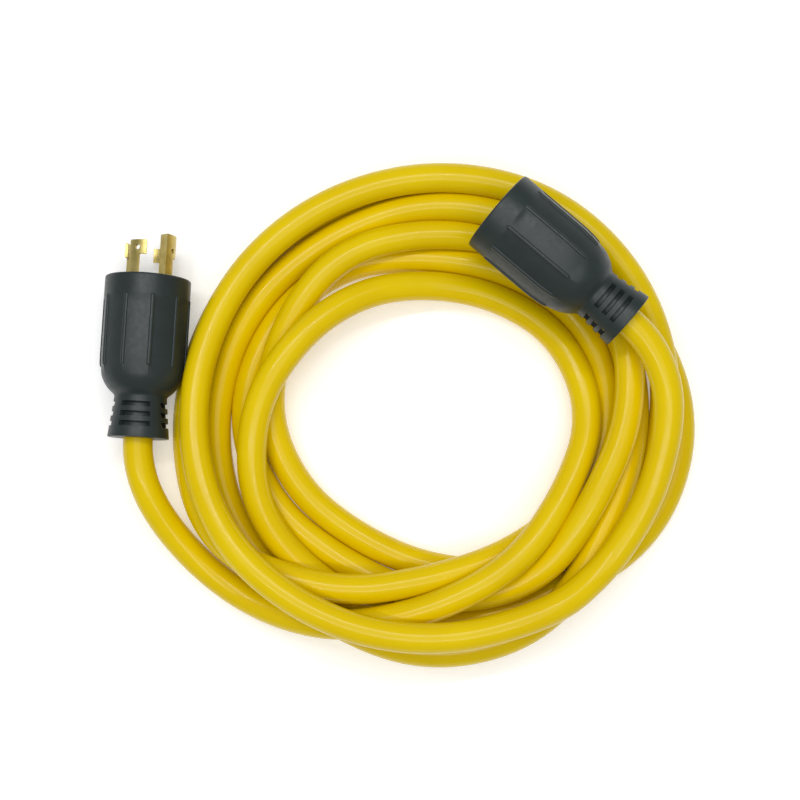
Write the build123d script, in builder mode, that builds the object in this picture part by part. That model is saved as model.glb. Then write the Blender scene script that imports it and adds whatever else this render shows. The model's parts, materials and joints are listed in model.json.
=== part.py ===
"""Four-wire 30 A shore power cord, coiled: locking plug, round cord and locking connector.

The frame's origin is the centre of the coil on the surface that it lies on, with +Z up.
Each moulded end is built on its own plane: origin at the centre of the end's face, local z
out of the face and local x towards the top side.  Heights behind the face are negative.
"""
import os
from math import cos, pi, radians, sin, sqrt, tan

from build123d import *

# Wires and jacket (mm): the cord's diameter follows from its four wires
conductor_diameter = 2.9
insulation_wall = 1.0
wire_spacing = 0.078
bore_clearance = 0.18
jacket_wall = 2.6
conductor_radius = conductor_diameter / 2
wire_radius = conductor_radius + insulation_wall
wire_circle = sqrt(2) * (wire_radius + wire_spacing / 2)
cord_radius = wire_circle + wire_radius + bore_clearance + jacket_wall
cord_diameter = 2 * cord_radius

# Crimp barrels
crimp_clearance = 0.05
crimp_wall = 1.6
crimp_room = 0.4
crimp_length = 12.0
crimp_stop = 1.5
tail_length = 4.0
crimp_radius = conductor_radius + crimp_clearance + crimp_wall

# Blades
blade_circle = 14.2
blade_thickness = 1.6
blade_clearance = 0.1
neck_width = 6.4
hook_width = 4.2
hook_start = 12.5
blade_length = 21.0
ground_extra = 5.0
ground_leg = 4.5
tip_rounding = 0.375
blade_hole = 3.0
blade_hole_height = 16.5
blade_angles = {"hot_x": -28.0, "ground": 62.0, "neutral": 152.0, "hot_y": -118.0}
wire_colours = {"hot_x": "black", "ground": "green", "neutral": "white", "hot_y": "red"}

# Contacts, which take the blades with room for their turn
slot_clearance = 0.4
contact_sheet = 0.7
contact_spring = 0.6
contact_sweep = 36.0
contact_depth = 16.0
pocket_clearance = 0.5
carrier_wall = 1.1
insert_clearance = 0.1
contact_gap = blade_thickness + contact_spring
contact_reach = contact_gap / 2 + contact_sheet + pocket_clearance

# Rigid inserts around the blade circle
face_thickness = 8.0
face_lip = 1.6
cover_wall = 1.7
terminal_reach = max(contact_reach + carrier_wall + insert_clearance, crimp_radius + crimp_room)
cover_radius = blade_circle + terminal_reach + cover_wall
face_radius = cover_radius + face_lip

# Wire runs behind the terminals, and where the jacket and the terminal cover end
wire_gap = 1.0
wire_straight = 4.0
wire_crossing = 14.0
wire_bend = 6.0
jacket_setback = 2.5
cover_grip = 4.5
plug_crimp = face_thickness + tail_length
connector_crimp = face_thickness + insert_clearance + contact_depth + contact_sheet
terminal_run = crimp_length + wire_gap + wire_straight + wire_crossing
plug_jacket = plug_crimp + terminal_run
connector_jacket = connector_crimp + terminal_run
plug_cover_depth = plug_jacket + jacket_setback + cover_grip
connector_cover_depth = connector_jacket + jacket_setback + cover_grip

# Overmoulded bodies: the connector's cover reaches a little way into its shoulder
overmould_wall = 5.85
rim_fillet = 1.2
plug_barrel_margin = 5.0
connector_cover_overlap = 4.8
shoulder_length = 15.0
shoulder_bulge = 2.6
boot_length = 25.0
neck_wall = 6.45
boot_end_wall = 9.25
body_radius = cover_radius + overmould_wall
plug_barrel = plug_cover_depth + plug_barrel_margin
connector_barrel = connector_cover_depth - connector_cover_overlap
plug_length = plug_barrel + shoulder_length + boot_length
connector_length = connector_barrel + shoulder_length + boot_length
neck_radius = cord_radius + neck_wall
boot_end_radius = cord_radius + boot_end_wall

# Grip ribs
rib_count = 10
rib_width = 2.2
rib_height = 0.6
rib_root = 1.5
rib_start = 12.0
rib_end_margin = 1.0
first_rib = 18.0

# Boot slots
slot_rows = 3
slot_width = 2.9
slot_pitch = 5.8
slot_margin = 6.4
slot_depth = 3.0
slot_sweep = 64.0
slot_sides = 4

# Coil: reach from its centre, in steps from +X anticlockwise, and two strands of height
outer_reach = (156, 149, 148, 147.5, 147.5, 152, 162, 158, 149, 150, 150, 156)
inner_reach = (84, 74, 68, 77, 89, 78, 84, 86)
coil_nesting = 1.0
coil_edge = 7.0
coil_gap = 0.3
coil_height = 2 * cord_diameter - coil_nesting

# Places of the two ends: centre of the face, and the heading out of the face
plug_floor_gap = 0.25
plug_place = (-168.6, 79.0, body_radius + plug_floor_gap)
plug_heading = 87.2
plug_nose_down = 1.5
connector_lift = 0.75
connector_place = (36.4, 113.4, coil_height + body_radius + rib_height + connector_lift)
connector_heading = 139.4

# Leads from the boots to the coil: straight out of the boot, then runs.  A run has its length
# seen from above, its heading, and its end's height above a strand on the floor, as a share of
# the boot's height plus a share of the height of the coil's upper strands.
lead_arc_share = 0.45
plug_straight = 20.0
plug_runs = (
    (20, -79, 0.95, 0),
    (22, -65.5, 0.74, 0),
    (24, -51.5, 0.42, 0),
    (26, -37, 0.14, 0),
    (28, -23, 0, 0.12),
    (30, -10, 0, 0.46),
    (32, 2, 0, 0.92),
)
connector_straight = 18.0
connector_runs = (
    (19, -54, 0.98, 0),
    (21, -68, 0.93, 0),
    (23, -82, 0.86, 0),
    (25, -97, 0.78, 0),
    (27, -112, 0.69, 0),
    (28, -127, 0.6, 0),
    (26, -144, 0.55, 0),
)


def end_frame(place, heading, nose_down):
    """The plane of an end's face: z out of the face, x towards its top side."""
    turn, dip = radians(heading), radians(nose_down)
    out = (cos(turn) * cos(dip), sin(turn) * cos(dip), -sin(dip))
    top = (cos(turn) * sin(dip), sin(turn) * sin(dip), cos(dip))
    return Plane(origin=place, x_dir=top, z_dir=out)


def across(frame, height):
    """A plane square to the end's axis."""
    return frame.offset(height)


def along(frame, angle=0.0):
    """A plane that holds the end's axis: x outward at the angle, y along the axis."""
    turn = radians(angle)
    return frame * Plane(origin=(0, 0, 0), x_dir=(cos(turn), sin(turn), 0), z_dir=(sin(turn), -cos(turn), 0))


def facing(frame, angle, radius, height):
    """A plane that faces outward at the angle: x along the end's axis."""
    turn = radians(angle)
    place = (radius * cos(turn), radius * sin(turn), height)
    return frame * Plane(origin=place, x_dir=(0, 0, 1), z_dir=(cos(turn), sin(turn), 0))


def axis_of(frame):
    return Axis(frame.origin, frame.z_dir)


def degrees_of(width):
    """The angle that a width takes on the blade circle."""
    return width / blade_circle * 180 / pi


def sector(inner, outer, start, end):
    """A flat face between two arcs about the origin."""
    with BuildSketch(Plane.XY) as piece:
        with BuildLine():
            outside = CenterArc((0, 0), outer, start, end - start)
            inside = CenterArc((0, 0), inner, start, end - start)
            Line(outside @ 0, inside @ 0)
            Line(outside @ 1, inside @ 1)
        make_face()
    return piece.sketch


def save(name, builder):
    builder.part.label = name
    export_step(builder.part, f"parts/{name}.step")
    return builder.part


def moulded_body(name, frame, barrel, cover_depth):
    """Soft overmould: ribbed barrel, rounded shoulder and slotted strain-relief boot."""
    shoulder_end = barrel + shoulder_length
    length = shoulder_end + boot_length
    middle_radius = (body_radius + neck_radius) / 2 + shoulder_bulge
    with BuildPart() as body:
        with BuildSketch(along(frame)):
            with BuildLine():
                Polyline((0, 0), (body_radius, 0), (body_radius, -barrel))
                ThreePointArc(
                    (body_radius, -barrel),
                    (middle_radius, -barrel - shoulder_length / 2 - shoulder_bulge),
                    (neck_radius, -shoulder_end),
                )
                Polyline((neck_radius, -shoulder_end), (boot_end_radius, -length), (0, -length), (0, 0))
            make_face()
        revolve(axis=axis_of(frame))
        fillet(body.edges().filter_by(GeomType.CIRCLE).sort_by(axis_of(frame))[-1], rim_fillet)
        rib_length = barrel - rib_start - rib_end_margin
        for rib in range(rib_count):
            angle = first_rib + rib * 360 / rib_count
            middle = -(rib_start + rib_length / 2)
            with BuildSketch(facing(frame, angle, body_radius - rib_root, middle)):
                SlotOverall(rib_length, rib_width)
            extrude(amount=rib_root + rib_height)
        for row in range(slot_rows):
            start = slot_margin + row * slot_pitch
            floor = boot_end_radius - slot_depth - start * (boot_end_radius - neck_radius) / boot_length
            reach = 2 * boot_end_radius
            half = reach * tan(radians(slot_sweep / 2))
            with BuildSketch(across(frame, start - length)):
                with PolarLocations(0, slot_sides):
                    Polygon((0, 0), (reach, -half), (reach, half), align=None)
                Circle(floor, mode=Mode.SUBTRACT)
            extrude(amount=slot_width, mode=Mode.SUBTRACT)
        bores = (face_radius, face_thickness), (cover_radius, cover_depth), (cord_radius, length)
        for radius, depth in bores:
            with BuildSketch(across(frame, 0)):
                Circle(radius)
            extrude(amount=-depth, mode=Mode.SUBTRACT)
    return save(name, body)


def blade_profile(angle, is_ground, grow=0.0):
    """Cross-section of a blade's neck, grown by a clearance; the ground blade is an L."""
    half = degrees_of(neck_width / 2 + grow)
    inner = blade_circle - blade_thickness / 2 - grow
    outer = blade_circle + blade_thickness / 2 + grow
    with BuildSketch(Plane.XY) as profile:
        add(sector(inner, outer, angle - half, angle + half))
        if is_ground:
            leg_end = angle - half + degrees_of(blade_thickness + 2 * grow)
            add(sector(inner - ground_leg, outer, angle - half, leg_end))
    return profile.sketch


def blade(name, frame, angle, is_ground):
    """Curved locking blade with a hooked tip, a tail and a crimp barrel."""
    tip = blade_length + (ground_extra if is_ground else 0)
    half = degrees_of(neck_width / 2)
    inner = blade_circle - blade_thickness / 2
    outer = blade_circle + blade_thickness / 2
    tail_end = face_thickness + tail_length
    middle = blade_circle * cos(radians(angle)), blade_circle * sin(radians(angle))
    with BuildPart() as strip:
        with BuildSketch(across(frame, -tail_end)):
            add(blade_profile(angle, is_ground))
        extrude(amount=tail_end + tip)
        with BuildSketch(across(frame, hook_start)):
            add(sector(inner, outer, angle - half, angle + half + degrees_of(hook_width)))
        extrude(amount=tip - hook_start)
        ends = strip.faces().sort_by(axis_of(frame))[-1].edges().filter_by(GeomType.LINE)
        fillet(ends.filter_by(lambda edge: edge.length < 2 * blade_thickness), tip_rounding)
        with BuildSketch(facing(frame, angle + degrees_of(hook_width) / 2, 0, blade_hole_height)):
            Circle(blade_hole / 2)
        extrude(amount=2 * blade_circle, mode=Mode.SUBTRACT)
        with BuildSketch(across(frame, -tail_end)):
            with Locations(middle):
                Circle(crimp_radius)
        extrude(amount=-crimp_length)
        with BuildSketch(across(frame, -tail_end - crimp_length)):
            with Locations(middle):
                Circle(conductor_radius + crimp_clearance)
        extrude(amount=crimp_length - crimp_stop, mode=Mode.SUBTRACT)
    return save(name, strip)


def blade_carrier(name, frame):
    """Rigid disc in the plug's nose; the blades pass through it."""
    with BuildPart() as disc:
        with BuildSketch(across(frame, 0)):
            Circle(face_radius)
            for terminal, angle in blade_angles.items():
                add(blade_profile(angle, terminal == "ground", blade_clearance), mode=Mode.SUBTRACT)
        extrude(amount=-face_thickness)
    return save(name, disc)


def blade_opening(angle, is_ground, grow):
    """What a mating blade's whole outline needs in a face that it meets mirrored."""
    half = degrees_of(neck_width / 2 + grow)
    hook = degrees_of(hook_width + grow)
    inner = blade_circle - blade_thickness / 2 - grow
    outer = blade_circle + blade_thickness / 2 + grow
    with BuildSketch(Plane.XY) as opening:
        add(sector(inner, outer, -angle - half - hook, -angle + half))
        if is_ground:
            leg_start = -angle + half - degrees_of(blade_thickness + 2 * grow)
            add(sector(inner - ground_leg, outer, leg_start, -angle + half))
    return opening.sketch


def slotted_face(name, frame):
    """Front plate of the connector with four curved slots, the ground's with a leg."""
    with BuildPart() as plate:
        with BuildSketch(across(frame, 0)):
            Circle(face_radius)
            for terminal, angle in blade_angles.items():
                add(blade_opening(angle, terminal == "ground", slot_clearance), mode=Mode.SUBTRACT)
        extrude(amount=-face_thickness)
    return save(name, plate)


def contact_pocket(angle, is_ground):
    """Room for one contact and for the blade's turn, mirrored from the blade's angle."""
    half = contact_sweep / 2 + degrees_of(pocket_clearance + hook_width / 2)
    leg = ground_leg if is_ground else 0
    inner = blade_circle - contact_reach - leg
    return sector(inner, blade_circle + contact_reach, -angle - half, -angle + half)


def contact_carrier(name, frame):
    """Block behind the slotted plate with a pocket for each contact."""
    with BuildPart() as block:
        with BuildSketch(across(frame, -face_thickness)):
            Circle(cover_radius - cover_wall - insert_clearance)
            for terminal, angle in blade_angles.items():
                add(contact_pocket(angle, terminal == "ground"), mode=Mode.SUBTRACT)
        extrude(amount=-contact_depth)
    return save(name, block)


def contact(name, frame, angle):
    """Female contact: two curved leaves on a bridge, and a crimp barrel."""
    front = face_thickness + insert_clearance
    bridge = front + contact_depth
    half = contact_sweep / 2
    near = blade_circle - contact_gap / 2
    far = blade_circle + contact_gap / 2
    middle = blade_circle * cos(radians(-angle)), blade_circle * sin(radians(-angle))
    with BuildPart() as leaves:
        with BuildSketch(across(frame, -front)):
            add(sector(near - contact_sheet, near, -angle - half, -angle + half))
            add(sector(far, far + contact_sheet, -angle - half, -angle + half))
        extrude(amount=-contact_depth)
        with BuildSketch(across(frame, -bridge)):
            add(sector(near - contact_sheet, far + contact_sheet, -angle - half, -angle + half))
        extrude(amount=-contact_sheet)
        with BuildSketch(across(frame, -bridge - contact_sheet)):
            with Locations(middle):
                Circle(crimp_radius)
                Circle(conductor_radius + crimp_clearance, mode=Mode.SUBTRACT)
        extrude(amount=-crimp_length)
    return save(name, leaves)


def terminal_cover(name, frame, depth):
    """Cup that keeps the overmould off the terminals; the cord enters its back wall."""
    with BuildPart() as cup:
        with BuildSketch(across(frame, -face_thickness)):
            Circle(cover_radius)
        extrude(amount=face_thickness - depth)
        with BuildSketch(across(frame, -face_thickness)):
            Circle(cover_radius - cover_wall)
        extrude(amount=face_thickness - depth + cover_wall, mode=Mode.SUBTRACT)
        with BuildSketch(across(frame, -depth)):
            Circle(cord_radius)
        extrude(amount=cover_wall, mode=Mode.SUBTRACT)
    return save(name, cup)


def jacket_end(name, frame, start, length):
    """End of the cord's jacket inside the boot, around the four wires."""
    with BuildPart() as jacket:
        with BuildSketch(across(frame, -start - jacket_setback)):
            Circle(cord_radius)
            Circle(cord_radius - jacket_wall, mode=Mode.SUBTRACT)
        extrude(amount=start + jacket_setback - length)
    return save(name, jacket)


def wire_run(frame, angle, radius, start, jacket_start, length):
    """A wire from its crimp to the boot's end: straight, across to the cord's middle, straight."""
    spread_end = jacket_start - wire_crossing
    with BuildPart() as run:
        with BuildLine(along(frame, angle)) as path:
            FilletPolyline(
                (blade_circle, -start),
                (blade_circle, -spread_end),
                (wire_circle, -jacket_start),
                (wire_circle, -length),
                radius=wire_bend,
            )
        with BuildSketch(Plane(path.line @ 0, z_dir=path.line % 0)):
            Circle(radius)
        sweep(path=path.line)
    return run.part


def wires(end, frame, side, crimp_start, jacket_start, length):
    """The four insulated wires of an end and the conductors inside them."""
    insulation_start = crimp_start + crimp_length + wire_gap
    for terminal, angle in blade_angles.items():
        colour = wire_colours[terminal]
        turned = side * angle
        insulation = wire_run(frame, turned, wire_radius, insulation_start, jacket_start, length)
        conductor = wire_run(frame, turned, conductor_radius, crimp_start + crimp_stop, jacket_start, length)
        with BuildPart() as hollow:
            add(insulation)
            add(conductor, mode=Mode.SUBTRACT)
        save(f"{end}_wire_{colour}", hollow)
        with BuildPart() as core:
            add(conductor)
        save(f"{end}_conductor_{colour}", core)


def coil_ring(plug, plug_back, connector, connector_back):
    """Outer shape of the coiled turns: a rounded ring, cleared around the two moulded ends."""
    with BuildPart() as ring:
        for reaches, mode in ((outer_reach, Mode.ADD), (inner_reach, Mode.SUBTRACT)):
            step = 2 * pi / len(reaches)
            points = [(r * cos(i * step), r * sin(i * step)) for i, r in enumerate(reaches)]
            with BuildSketch(Plane.XY):
                with BuildLine():
                    Spline(*points, periodic=True)
                make_face()
            extrude(amount=coil_height, mode=mode)
        top = ring.faces().sort_by(Axis.Z)[-1]
        fillet(top.edges(), coil_edge)
        for frame, back in ((plug, plug_back), (connector, connector_back)):
            with BuildSketch(across(frame, coil_edge)):
                Circle(body_radius + rib_height + coil_gap)
            extrude(amount=-coil_edge - back + boot_length, mode=Mode.SUBTRACT)
            with BuildSketch(across(frame, -back + boot_length)):
                Circle(boot_end_radius + coil_gap)
            extrude(amount=-boot_length - coil_gap, mode=Mode.SUBTRACT)
    return save("cord_coil", ring)


def route(frame, length, straight, runs):
    """Points of a cord's route from the boot of an end of that length."""
    boot = frame.origin - frame.z_dir * length
    rise = boot.Z - cord_radius
    climb = coil_height - cord_diameter
    x, y, z = boot - frame.z_dir * straight
    points = [tuple(boot), (x, y, z)]
    for run, heading, boot_share, coil_share in runs:
        x += run * cos(radians(heading))
        y += run * sin(radians(heading))
        points.append((x, y, cord_radius + boot_share * rise + coil_share * climb))
    return points


def lead(name, points, coil):
    """The stretch of cord between a boot and the coil, in straight runs and tangent arcs."""
    corners = [Vector(*point) for point in points]
    runs = [b - a for a, b in zip(corners, corners[1:])]
    radii = []
    for before, after in zip(runs, runs[1:]):
        shorter = min(before.length, after.length)
        radii.append(lead_arc_share * shorter / tan(radians(before.get_angle(after) / 2)))
    print(name, "radii", [round(radius) for radius in radii])
    with BuildPart() as tube:
        with BuildLine() as path:
            FilletPolyline(*points, radius=radii)
        with BuildSketch(Plane(path.line @ 0, z_dir=path.line % 0)):
            Circle(cord_radius)
        sweep(path=path.line)
        length = sum(edge.length for edge in path.edges())
        expected = pi * cord_radius**2 * length
        print(name, "length", round(length, 1), "volume ratio", round(tube.part.volume / expected, 4))
        add(coil, mode=Mode.SUBTRACT)
    return save(name, tube)


os.makedirs("parts", exist_ok=True)

plug_frame = end_frame(plug_place, plug_heading, plug_nose_down)
moulded_body("plug_body", plug_frame, plug_barrel, plug_cover_depth)
blade_carrier("plug_blade_carrier", plug_frame)
for terminal, angle in blade_angles.items():
    blade(f"plug_blade_{terminal}", plug_frame, angle, terminal == "ground")
terminal_cover("plug_terminal_cover", plug_frame, plug_cover_depth)
jacket_end("plug_jacket_end", plug_frame, plug_jacket, plug_length)
wires("plug", plug_frame, 1, plug_crimp, plug_jacket, plug_length)

connector_frame = end_frame(connector_place, connector_heading, 0)
moulded_body("connector_body", connector_frame, connector_barrel, connector_cover_depth)
slotted_face("connector_face", connector_frame)
contact_carrier("connector_contact_carrier", connector_frame)
for terminal, angle in blade_angles.items():
    contact(f"connector_contact_{terminal}", connector_frame, angle)
terminal_cover("connector_terminal_cover", connector_frame, connector_cover_depth)
jacket_end("connector_jacket_end", connector_frame, connector_jacket, connector_length)
wires("connector", connector_frame, -1, connector_crimp, connector_jacket, connector_length)

coil = coil_ring(plug_frame, plug_length, connector_frame, connector_length)
plug_points = route(plug_frame, plug_length, plug_straight, plug_runs)
connector_points = route(connector_frame, connector_length, connector_straight, connector_runs)
lead("plug_lead", plug_points, coil)
lead("connector_lead", connector_points, coil)
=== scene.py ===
"""Looks of the coiled shore power cord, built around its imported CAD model."""
import json
import math

import bmesh
import bpy
import numpy as np
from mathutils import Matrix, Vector


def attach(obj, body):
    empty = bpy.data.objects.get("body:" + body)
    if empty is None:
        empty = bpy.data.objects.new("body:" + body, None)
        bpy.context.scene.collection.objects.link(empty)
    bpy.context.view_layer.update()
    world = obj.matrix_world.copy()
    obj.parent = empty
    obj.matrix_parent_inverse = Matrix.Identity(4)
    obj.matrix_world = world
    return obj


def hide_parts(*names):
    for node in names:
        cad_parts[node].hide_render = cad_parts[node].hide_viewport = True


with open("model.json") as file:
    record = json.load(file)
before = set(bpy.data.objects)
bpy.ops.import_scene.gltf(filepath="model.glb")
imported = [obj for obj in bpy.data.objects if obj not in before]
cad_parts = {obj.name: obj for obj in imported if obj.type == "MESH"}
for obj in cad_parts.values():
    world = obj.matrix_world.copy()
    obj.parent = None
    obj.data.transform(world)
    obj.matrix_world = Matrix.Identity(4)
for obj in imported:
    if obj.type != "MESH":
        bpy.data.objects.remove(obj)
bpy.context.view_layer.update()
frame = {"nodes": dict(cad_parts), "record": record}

MM = 0.001
CORD_DIAMETER = 17.5
CORD_RADIUS = CORD_DIAMETER / 2

# Settling of the strands: what each sweep adds
CORD_GAP = 0.1
CONTACT_SHARE = 0.6
PUSH = 2.5
SIDEWAYS = 0.5
SIDEWAYS_RAMP = 1.5
STIFFNESS = 0.03
PLAN_PULL = 0.02
WEIGHT = 0.5

# Moulded ends (mm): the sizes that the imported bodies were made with
BODY_RADIUS = 25.25
BARREL = {"plug": 55.0, "connector": 58.0}
SHOULDER = 15.0
SHOULDER_START = {"plug": 9.0, "connector": 19.0}
SHOULDER_CURVE = (2.7, 0.8)
SOFTENING = 1.0
BOOT = 25.0
NECK_RADIUS = 15.2
BOOT_END_RADIUS = 18.0
RIM_FILLET = 1.2
FACE_RADIUS = 21.0
FACE_THICKNESS = 8.0
COVER_RADIUS = 19.4
COVER_DEPTH = {"plug": 50.0, "connector": 62.8}

# Grip ribs, the shallow hollows between them, and the slots round the boot (mm and degrees)
RIBS = 10
FIRST_RIB = 18
RIB_WIDTH = 2.6
RIB_HEIGHT = 0.6
RIB_CURVE = 0.45
RIB_START = 12.0
RIB_END_MARGIN = 1.0
HOLLOW = 0.8
HOLLOW_CURVE = 0.6
RIB_IN_HOLLOW = 0.8
HOLLOW_FADE = (4.0, 9.0)
SLOT_ROWS = 3
SLOT_SIDES = 4
SLOT_WIDTH = 2.9
SLOT_PITCH = 5.8
SLOT_MARGIN = 6.4
SLOT_DEPTH = 3.8
SLOT_SWEEP = 64
SLOT_EDGE = 0.3
SLOT_END_EDGE = 1.2
PLACE = {"plug": (-168.6, 79.0, 25.5), "connector": (36.4, 113.4, 60.6)}
HEADING = {"plug": 87.2, "connector": 139.4}
NOSE_DOWN = {"plug": 1.5, "connector": 0.0}

# Camera (mm): nearly straight above, a little in front of the coil
CAMERA_PLACE = (-18.9, -46.4, 850)
CAMERA_AIM = (-18.9, 8.5, 0)
CAMERA_LENS = 62.8

# Leads (mm): from the plug's boot to the coil, and from the connector's boot to the coil
PLUG_LEAD = (
    (-173.2, -15.9, 28.0), (-173.6, -24.9, 28.2), (-170.0, -42.5, 26.5), (-162.7, -59.0, 21.5),
    (-150.2, -77.1, 15.0), (-132.2, -95.8, 10.0), (-109.1, -111.7, 12.0), (-81.1, -122.4, 20.5),
    (-49.3, -126.3, 29.0),
)
CONNECTOR_LEAD = (
    (110.8, 49.6, 60.6), (117.3, 44.1, 60.6), (127.0, 30.2, 60.0), (133.0, 14.3, 58.0),
    (134.8, -2.6, 54.5), (132.5, -22.5, 50.0), (126.5, -46.0, 45.0), (114.5, -70.5, 41.0),
    (97.5, -93.8, 38.0),
)

# Coil: each turn runs anticlockwise from the bottom, with a station every 30 degrees.
# A station is its distance from the coil's centre (mm) and how many strands lie under it.
STATIONS = 12
TURNS = (
    ((109.5, 1), (101.5, 1.9), (98.5, 2.5), (97, 1.4), (90.5, 0.4), (82, 0),
     (77, 0), (79.8, 0.3), (90, 1.3), (103.7, 1.2), (115, 1), (122, 0.2)),
    ((126.5, 0), (127, 0), (141.5, 0), (143, 0), (136.5, 0), (134.5, 0),
     (134, 0), (136.5, 0), (144, 0), (168, 0), (150, 0.3), (115.5, 1.2)),
    ((99.2, 1.1), (97, 0.3), (100, 0), (105, 0), (106.5, 0), (99, 0),
     (95.5, 0), (103.5, 0), (110.5, 0), (115.5, 0), (112.5, 0), (108.5, 0)),
    ((113, 0), (109, 0.1), (98, 0.8), (115.5, 1.1), (125.5, 1.3), (122, 2.2),
     (117.5, 2.8), (119.5, 2.2), (127, 0.9), (132.5, 0), (138, 0), (141, 0)),
    ((140.9, 0), (141, 0), (127.5, 0.9), (121.5, 0), (120.5, 0), (115, 0),
     (111, 0), (107, 0.4), (100, 0.5), (98.5, 0), (90.5, 0), (86.8, 0)),
    ((89.5, 0), (106, 0), (130, 0), (141.5, 1), (141, 1), (139, 1),
     (137.2, 1), (138, 1), (141, 1.4), (145, 1.2), (140.5, 1.7), (133, 2)),
    ((130, 1.6), (129.5, 1.4)),
)


def end_axis(end):
    """Unit vector out of an end's face."""
    turn, dip = math.radians(HEADING[end]), math.radians(NOSE_DOWN[end])
    return np.array((math.cos(turn) * math.cos(dip), math.sin(turn) * math.cos(dip), -math.sin(dip)))


def coil_points():
    """Control points of the coil's turns, a little outside the line that they make."""
    outside = 1 / math.cos(math.pi / STATIONS)
    points = []
    for reach, layer in (station for turn in TURNS for station in turn):
        angle = math.radians(270 + len(points) * 360 / STATIONS)
        height = CORD_RADIUS + layer * CORD_DIAMETER
        points.append((reach * outside * math.cos(angle), reach * outside * math.sin(angle), height))
    return points


def spline_weights(count, steps):
    """What each control point adds to points along a quadratic spline, steps for each control point."""
    rows = []
    for middle in range(1, count - 1):
        for step in range(steps):
            t = (step + 0.5) / steps
            row = np.zeros(count)
            row[middle - 1 : middle + 2] = (1 - t) ** 2 / 2, 0.5 + t - t * t, t * t / 2
            rows.append(row)
    return np.array(rows)


def settle(points, free, sweeps=900, steps=8):
    """Lets the free control points sink until the strands rest on each other, the floor and the ends."""
    points = np.array(points, float)
    start = points.copy()
    weights = spline_weights(len(points), steps)
    share = weights.sum(axis=0)[:, None] + 1e-9
    line = weights @ points
    clearance = CORD_DIAMETER + CORD_GAP
    reach = np.linalg.norm(line[:, None] - line[None], axis=2)
    number = np.arange(len(line))
    first, second = np.nonzero((reach < 3 * CORD_DIAMETER) & (number[None] - number[:, None] > 3 * steps))
    for sweep in range(sweeps):
        line = weights @ points
        between = line[first] - line[second]
        distance = np.linalg.norm(between, axis=1) + 1e-9
        overlap = np.clip(clearance - distance, 0, None)
        apart = between * (overlap / distance)[:, None]
        push = np.zeros_like(line)
        contacts = np.zeros(len(line))
        for strand, side in ((first, 1), (second, -1)):
            np.add.at(push, strand, side * apart)
            np.add.at(contacts, strand, overlap > 0)
        push = CONTACT_SHARE * push / np.sqrt(np.maximum(1, contacts))[:, None]
        push[:, :2] *= SIDEWAYS * min(1, SIDEWAYS_RAMP * sweep / sweeps)
        push[:, 2] += np.clip(CORD_RADIUS - line[:, 2], 0, None)
        for end in BARREL:
            out = end_axis(end)
            offset = line - np.array(PLACE[end])
            depth = -(offset @ out)
            radial = offset + depth[:, None] * out
            away = np.linalg.norm(radial, axis=1) + 1e-9
            total = BARREL[end] + SHOULDER + BOOT
            radius = np.where(depth < BARREL[end] + SHOULDER / 2, BODY_RADIUS + RIB_HEIGHT, BOOT_END_RADIUS)
            beside = (depth > -CORD_RADIUS) & (depth < total - 1)
            need = np.where(beside, radius + CORD_RADIUS + CORD_GAP - away, 0)
            push += radial / away[:, None] * np.clip(need, 0, None)[:, None]
        sinking = 1 - sweep / sweeps
        change = PUSH * (weights.T @ push) / share
        bend = np.zeros_like(points)
        bend[1:-1] = (points[:-2] + points[2:]) / 2 - points[1:-1]
        level = bend[:, 2].copy()
        level[1:-1] -= (bend[:-2, 2] + bend[2:, 2]) / 2
        change[:, 2] += STIFFNESS * level
        change[:, :2] += PLAN_PULL * (start - points)[:, :2]
        change[:, 2] -= WEIGHT * sinking
        points[free] += change[free]
        points[:, 2] = np.maximum(points[:, 2], CORD_RADIUS)
    return points


def cord_points():
    leads = len(PLUG_LEAD), len(CONNECTOR_LEAD)
    points = [*PLUG_LEAD, *coil_points(), *reversed(CONNECTOR_LEAD)]
    free = np.arange(leads[0], len(points) - leads[1])
    return settle(points, free)


def make_cord():
    curve = bpy.data.curves.new("cord", "CURVE")
    curve.dimensions = "3D"
    curve.bevel_depth = 1
    curve.bevel_resolution = 10
    curve.resolution_u = 12
    curve.use_fill_caps = True
    spline = curve.splines.new("NURBS")
    points = cord_points()
    spline.points.add(len(points) - 1)
    for control, point in zip(spline.points, points):
        control.co = (*(float(value) * MM for value in point), 1)
        control.radius = CORD_RADIUS * MM
    spline.order_u = 3
    spline.use_endpoint_u = True
    cord = bpy.data.objects.new("cord", curve)
    bpy.context.collection.objects.link(cord)
    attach(cord, "root")
    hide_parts("cord_coil", "plug_lead", "connector_lead")
    return cord


def make_camera():
    data = bpy.data.cameras.new("camera")
    data.lens = CAMERA_LENS
    data.sensor_width = 36
    data.clip_start, data.clip_end = 0.01, 20
    camera = bpy.data.objects.new("camera", data)
    bpy.context.collection.objects.link(camera)
    place, aim = Vector(CAMERA_PLACE) * MM, Vector(CAMERA_AIM) * MM
    camera.location = place
    camera.rotation_euler = (aim - place).to_track_quat("-Z", "Y").to_euler()
    bpy.context.scene.camera = camera


def blend(value, low, high):
    """Smooth step from 0 at low to 1 at high."""
    t = np.clip((value - low) / (high - low), 0, 1)
    return t * t * (3 - 2 * t)


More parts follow.
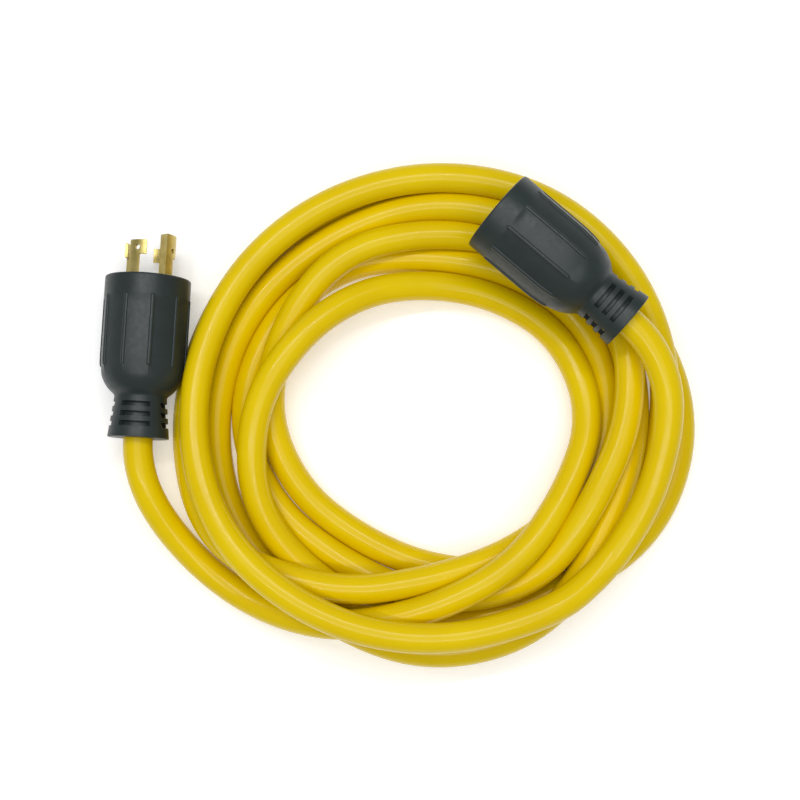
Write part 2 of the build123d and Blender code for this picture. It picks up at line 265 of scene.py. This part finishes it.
def plain_radius(end, depth):
    """Radius of an end's outside without ribs or slots, with a soft run into its shoulder."""
    barrel = BARREL[end]
    total = barrel + SHOULDER + BOOT
    step, reach = 0.05, 60
    power, root = SHOULDER_CURVE
    fine = np.arange(-5, total + 5, step)
    run = SHOULDER + SHOULDER_START[end]
    across = np.clip((fine - barrel - SHOULDER + run) / run, 0, 1)
    radius = NECK_RADIUS + (BODY_RADIUS - NECK_RADIUS) * (1 - across**power) ** root
    taper = np.clip((fine - barrel - SHOULDER) / BOOT, 0, 1)
    radius = radius + (BOOT_END_RADIUS - NECK_RADIUS) * taper
    spread = np.exp(-((np.arange(-reach, reach + 1) * step / SOFTENING) ** 2))
    radius = np.convolve(np.pad(radius, reach, mode="edge"), spread / spread.sum(), mode="valid")
    left = RIM_FILLET - np.clip(depth, 0, RIM_FILLET)
    rim = RIM_FILLET - np.sqrt(np.clip(RIM_FILLET**2 - left**2, 0, None))
    return np.interp(depth, fine, radius) - rim


def grip_radius(end, depth, angle):
    """Radius of an end's outside at a depth behind the face (mm) and an angle (degrees)."""
    barrel = BARREL[end]
    length = barrel + SHOULDER + BOOT
    radius = plain_radius(end, depth)
    pitch = 360 / RIBS
    off = (angle - FIRST_RIB + pitch / 2) % pitch - pitch / 2
    start, stop = RIB_START, barrel - RIB_END_MARGIN
    fade_in, fade_out = HOLLOW_FADE
    fade = blend(depth, start, start + fade_in) * (1 - blend(depth, stop - 2, stop - 2 + fade_out))
    hollow = HOLLOW * fade * np.sin(math.pi * np.abs(off) / pitch) ** HOLLOW_CURVE
    half = RIB_WIDTH / 2
    beside = np.radians(off) * BODY_RADIUS
    beyond = np.clip(np.maximum(start + half - depth, depth - stop + half), 0, None)
    inside = np.clip(1 - (beside**2 + beyond**2) / half**2, 0, None)
    radius = radius - hollow + (RIB_HEIGHT + RIB_IN_HOLLOW * hollow) * inside**RIB_CURVE
    turn = (angle + 180 / SLOT_SIDES) % (360 / SLOT_SIDES) - 180 / SLOT_SIDES
    sides = 1 - blend(np.abs(turn), SLOT_SWEEP / 2 - SLOT_END_EDGE, SLOT_SWEEP / 2)
    for row in range(SLOT_ROWS):
        back = length - SLOT_MARGIN - row * SLOT_PITCH
        front = back - SLOT_WIDTH
        open_here = blend(depth, front, front + SLOT_EDGE) * (1 - blend(depth, back - SLOT_EDGE, back))
        radius = radius - SLOT_DEPTH * open_here * sides
    return radius


def grip_columns():
    """Angles (degrees) that the grip's mesh has columns at: close together at ribs and slot ends."""
    columns = set()
    per_mm = math.degrees(1 / BODY_RADIUS)
    for rib in range(RIBS):
        for side in (-1, 1):
            for offset in (0, 0.4, 0.7, 0.95, 1.12, 1.23, 1.3, 1.5, 2.4, 3.5, 4.8, 6.3, 7.9):
                columns.add(round((FIRST_RIB + rib * 360 / RIBS + side * offset * per_mm) % 360, 3))
    for slot in range(SLOT_SIDES):
        for side in (-1, 1):
            for offset in (-1.4, -1.2, -0.8, -0.4, 0, 0.3):
                columns.add(round((slot * 360 / SLOT_SIDES + side * (SLOT_SWEEP / 2 + offset)) % 360, 3))
    return np.array(sorted(columns))


def grip_rows(end):
    """Depths (mm) that the grip's mesh has rings at."""
    barrel = BARREL[end]
    length = barrel + SHOULDER + BOOT
    rib_end = barrel - RIB_END_MARGIN
    rows = [0, 0.08, 0.25, 0.5, 0.8, 1.2, 3, 6, 9, 11]
    rows += list(np.arange(RIB_START - 0.2, RIB_START + 1.6, 0.2)) + [14, 15, 16.5, 19]
    rows += list(np.arange(23, rib_end - 5, 4)) + [rib_end - 3.5, rib_end - 2]
    rows += list(np.arange(rib_end - 1.4, rib_end + 0.4, 0.2))
    rows += list(np.arange(rib_end + 1.0, barrel + SHOULDER + 1, 0.8))
    rows += [barrel + SHOULDER + 1.2, length - 1.5, length - 0.5]
    for row in range(SLOT_ROWS):
        back = length - SLOT_MARGIN - row * SLOT_PITCH
        front = back - SLOT_WIDTH
        rows += [front - 0.2, front, front + 0.08, front + 0.15, front + 0.22, front + SLOT_EDGE, front + 1]
        rows += [back - 1, back - SLOT_EDGE, back - 0.22, back - 0.15, back - 0.08, back, back + 0.2]
    return np.array(sorted(set(np.round(rows, 3))))


def make_grip(end):
    """The soft moulded end: ribbed barrel, rounded shoulder and slotted boot, open at both ends."""
    length = BARREL[end] + SHOULDER + BOOT
    columns = grip_columns()
    rings = [(grip_radius(end, depth, columns), depth) for depth in grip_rows(end)]
    inside = (
        (BOOT_END_RADIUS - 0.15, length - 0.15), (BOOT_END_RADIUS - 0.5, length),
        (CORD_RADIUS + 0.9, length), (CORD_RADIUS + 0.35, length - 0.15), (CORD_RADIUS + 0.2, length - 0.8),
        (CORD_RADIUS + 0.2, COVER_DEPTH[end]), (COVER_RADIUS, COVER_DEPTH[end]),
        (COVER_RADIUS, FACE_THICKNESS), (FACE_RADIUS, FACE_THICKNESS),
        (FACE_RADIUS, 0.4), (FACE_RADIUS + 0.25, 0),
    )
    rings += [(np.full(len(columns), radius), depth) for radius, depth in inside]
    out = Vector(end_axis(end))
    side = out.cross(Vector((0, 0, 1))).normalized()
    top = side.cross(out)
    side = out.cross(top)
    place = Vector(PLACE[end])
    grip = bmesh.new()
    loops = []
    for radii, depth in rings:
        loop = []
        for radius, angle in zip(radii, np.radians(columns)):
            around = top * math.cos(angle) + side * math.sin(angle)
            spot = place - out * float(depth) + around * float(radius)
            loop.append(grip.verts.new(spot * MM))
        loops.append(loop)
    count = len(columns)
    for index, loop in enumerate(loops):
        following = loops[(index + 1) % len(loops)]
        for column in range(count):
            after = (column + 1) % count
            grip.faces.new((loop[column], loop[after], following[after], following[column]))
    bmesh.ops.recalc_face_normals(grip, faces=grip.faces)
    mesh = bpy.data.meshes.new(f"{end}_grip")
    grip.to_mesh(mesh)
    grip.free()
    mesh.shade_smooth()
    mesh.set_sharp_from_angle(angle=math.radians(38))
    piece = bpy.data.objects.new(f"{end}_grip", mesh)
    bpy.context.collection.objects.link(piece)
    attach(piece, "root")
    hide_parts(f"{end}_body")
    return piece


def new_material(name, **sockets):
    """A material and its shader; each value is set on the shader's own socket."""
    material = bpy.data.materials.new(name)
    material.use_nodes = True
    shader = material.node_tree.nodes["Principled BSDF"]
    for socket, value in sockets.items():
        shader.inputs[socket.replace("_", " ")].default_value = value
    return material, shader


def noise(tree, scale, detail=3.0, stretch=(1, 1, 1), turn=0.0):
    """Noise over the surface: features per metre, stretched along an axis turned about +Z."""
    place = tree.nodes.new("ShaderNodeTexCoord")
    mapping = tree.nodes.new("ShaderNodeMapping")
    mapping.inputs["Rotation"].default_value = (0, 0, turn)
    mapping.inputs["Scale"].default_value = stretch
    texture = tree.nodes.new("ShaderNodeTexNoise")
    texture.inputs["Scale"].default_value = scale
    texture.inputs["Detail"].default_value = detail
    tree.links.new(place.outputs["Object"], mapping.inputs["Vector"])
    tree.links.new(mapping.outputs["Vector"], texture.inputs["Vector"])
    return texture.outputs["Fac"]


def ramp(tree, value, stops):
    """Colours along a value."""
    colours = tree.nodes.new("ShaderNodeValToRGB")
    elements = colours.color_ramp.elements
    while len(elements) < len(stops):
        elements.new(0.5)
    for element, (place, colour) in zip(elements, stops):
        element.position = place
        element.color = (*colour, 1)
    tree.links.new(value, colours.inputs["Fac"])
    return colours.outputs["Color"]


def scaled(tree, value, low, high):
    """A value from 0.3 to 0.7 spread over low to high."""
    spread = tree.nodes.new("ShaderNodeMapRange")
    spread.inputs["From Min"].default_value = 0.3
    spread.inputs["From Max"].default_value = 0.7
    spread.inputs["To Min"].default_value = low
    spread.inputs["To Max"].default_value = high
    tree.links.new(value, spread.inputs["Value"])
    return spread.outputs["Result"]


def bump(tree, shader, layers):
    """Bumps on top of each other: (height, distance in metres, strength) for each."""
    below = None
    for height, distance, strength in layers:
        node = tree.nodes.new("ShaderNodeBump")
        node.inputs["Distance"].default_value = distance
        node.inputs["Strength"].default_value = strength
        tree.links.new(height, node.inputs["Height"])
        if below is not None:
            tree.links.new(below, node.inputs["Normal"])
        below = node.outputs["Normal"]
    tree.links.new(below, shader.inputs["Normal"])


def plastic(name, dark, light, roughness, grain, depth, patch=40, **sockets):
    """Moulded or extruded plastic: faint patches of colour and gloss, and a fine grain."""
    material, shader = new_material(name, **sockets)
    tree = material.node_tree
    patches = noise(tree, patch, 4)
    tree.links.new(ramp(tree, patches, ((0.3, dark), (0.7, light))), shader.inputs["Base Color"])
    tree.links.new(scaled(tree, noise(tree, patch * 6, 5), *roughness), shader.inputs["Roughness"])
    fine, broad = noise(tree, grain, 4), noise(tree, patch * 2.5, 2)
    bump(tree, shader, ((fine, depth, 0.5), (broad, depth * 6, 0.25)))
    return material


def brushed_metal(name, dark, light, roughness, turn):
    """Stamped sheet: fine lines along the blades and soft patches of tarnish."""
    material, shader = new_material(name, Metallic=1.0)
    tree = material.node_tree
    tarnish = noise(tree, 160, 5)
    tree.links.new(ramp(tree, tarnish, ((0.3, dark), (0.62, light))), shader.inputs["Base Color"])
    lines = noise(tree, 2200, 3, (1, 0.04, 1), turn)
    tree.links.new(scaled(tree, lines, *roughness), shader.inputs["Roughness"])
    bump(tree, shader, ((lines, 0.00004, 0.35), (noise(tree, 420, 3), 0.00012, 0.3)))
    return material


def make_materials():
    turn = -math.radians(HEADING["plug"] - 90)
    materials = {
        "jacket": plastic(
            "jacket", (0.745, 0.525, 0.0), (0.795, 0.580, 0.0), (0.15, 0.27), 1500, 0.00003, 26,
            Specular_IOR_Level=0.22,
        ),
        "overmould": plastic(
            "overmould", (0.017, 0.026, 0.025), (0.022, 0.033, 0.032), (0.34, 0.46), 2600, 0.00005, 60,
            Specular_IOR_Level=0.36,
        ),
        "insert": plastic(
            "insert", (0.016, 0.018, 0.019), (0.024, 0.027, 0.029), (0.42, 0.6), 1800, 0.00005, 80,
        ),
        "brass": brushed_metal("brass", (0.50, 0.40, 0.13), (0.64, 0.53, 0.20), (0.34, 0.50), turn),
        "copper": brushed_metal("copper", (0.60, 0.24, 0.13), (0.80, 0.38, 0.22), (0.25, 0.4), turn),
    }
    insulation = {
        "black": ((0.01, 0.01, 0.01), (0.02, 0.02, 0.02)),
        "red": ((0.42, 0.02, 0.015), (0.5, 0.03, 0.02)),
        "white": ((0.72, 0.72, 0.7), (0.8, 0.8, 0.78)),
        "green": ((0.015, 0.2, 0.05), (0.02, 0.26, 0.06)),
    }
    for colour, (dark, light) in insulation.items():
        name = f"insulation_{colour}"
        materials[name] = plastic(name, dark, light, (0.3, 0.45), 1500, 0.00003)
    return materials


def make_light(name, place, aim, size, power):
    data = bpy.data.lights.new(name, "AREA")
    data.shape = "RECTANGLE"
    data.size, data.size_y = size
    data.energy = power
    light = bpy.data.objects.new(name, data)
    bpy.context.collection.objects.link(light)
    light.location = place
    light.rotation_euler = (Vector(aim) - Vector(place)).to_track_quat("-Z", "Y").to_euler()


def make_studio():
    scene = bpy.context.scene
    scene.view_settings.view_transform = "Standard"
    scene.world = bpy.data.worlds.new("studio")
    scene.world.use_nodes = True
    sky = scene.world.node_tree.nodes["Background"]
    sky.inputs["Color"].default_value = (1, 1, 1, 1)
    sky.inputs["Strength"].default_value = 0.32
    make_light("strip_back", (-0.1, 0.42, 1.3), (-0.02, 0, 0), (1.2, 0.035), 4.5)
    make_light("strip_front", (-0.1, -0.42, 1.3), (-0.02, 0, 0), (1.2, 0.035), 2.8)
    make_light("softbox_top", (-0.02, 0.1, 1.9), (-0.02, 0, 0), (1.8, 1.8), 15)
    mesh = bpy.data.meshes.new("floor")
    mesh.from_pydata([(-3, -3, 0), (3, -3, 0), (3, 3, 0), (-3, 3, 0)], [], [(0, 1, 2, 3)])
    floor = bpy.data.objects.new("floor", mesh)
    bpy.context.collection.objects.link(floor)
    paper = plastic("paper", (0.93, 0.93, 0.93), (0.95, 0.95, 0.95), (0.7, 0.8), 900, 0.00002)
    glow = paper.node_tree.nodes["Principled BSDF"]
    glow.inputs["Emission Color"].default_value = (1, 1, 1, 1)
    glow.inputs["Emission Strength"].default_value = 0.25
    mesh.materials.append(paper)


make_camera()
cord = make_cord()
grips = {end: make_grip(end) for end in BARREL}

materials = make_materials()
cord.data.materials.append(materials["jacket"])
for grip in grips.values():
    grip.data.materials.append(materials["overmould"])
slots = {part["node"]: part["material_slot"] for part in frame["record"]["subparts"]}
for name, node in frame["nodes"].items():
    node.data.materials.clear()
    node.data.materials.append(materials[slots[name]])
make_studio()
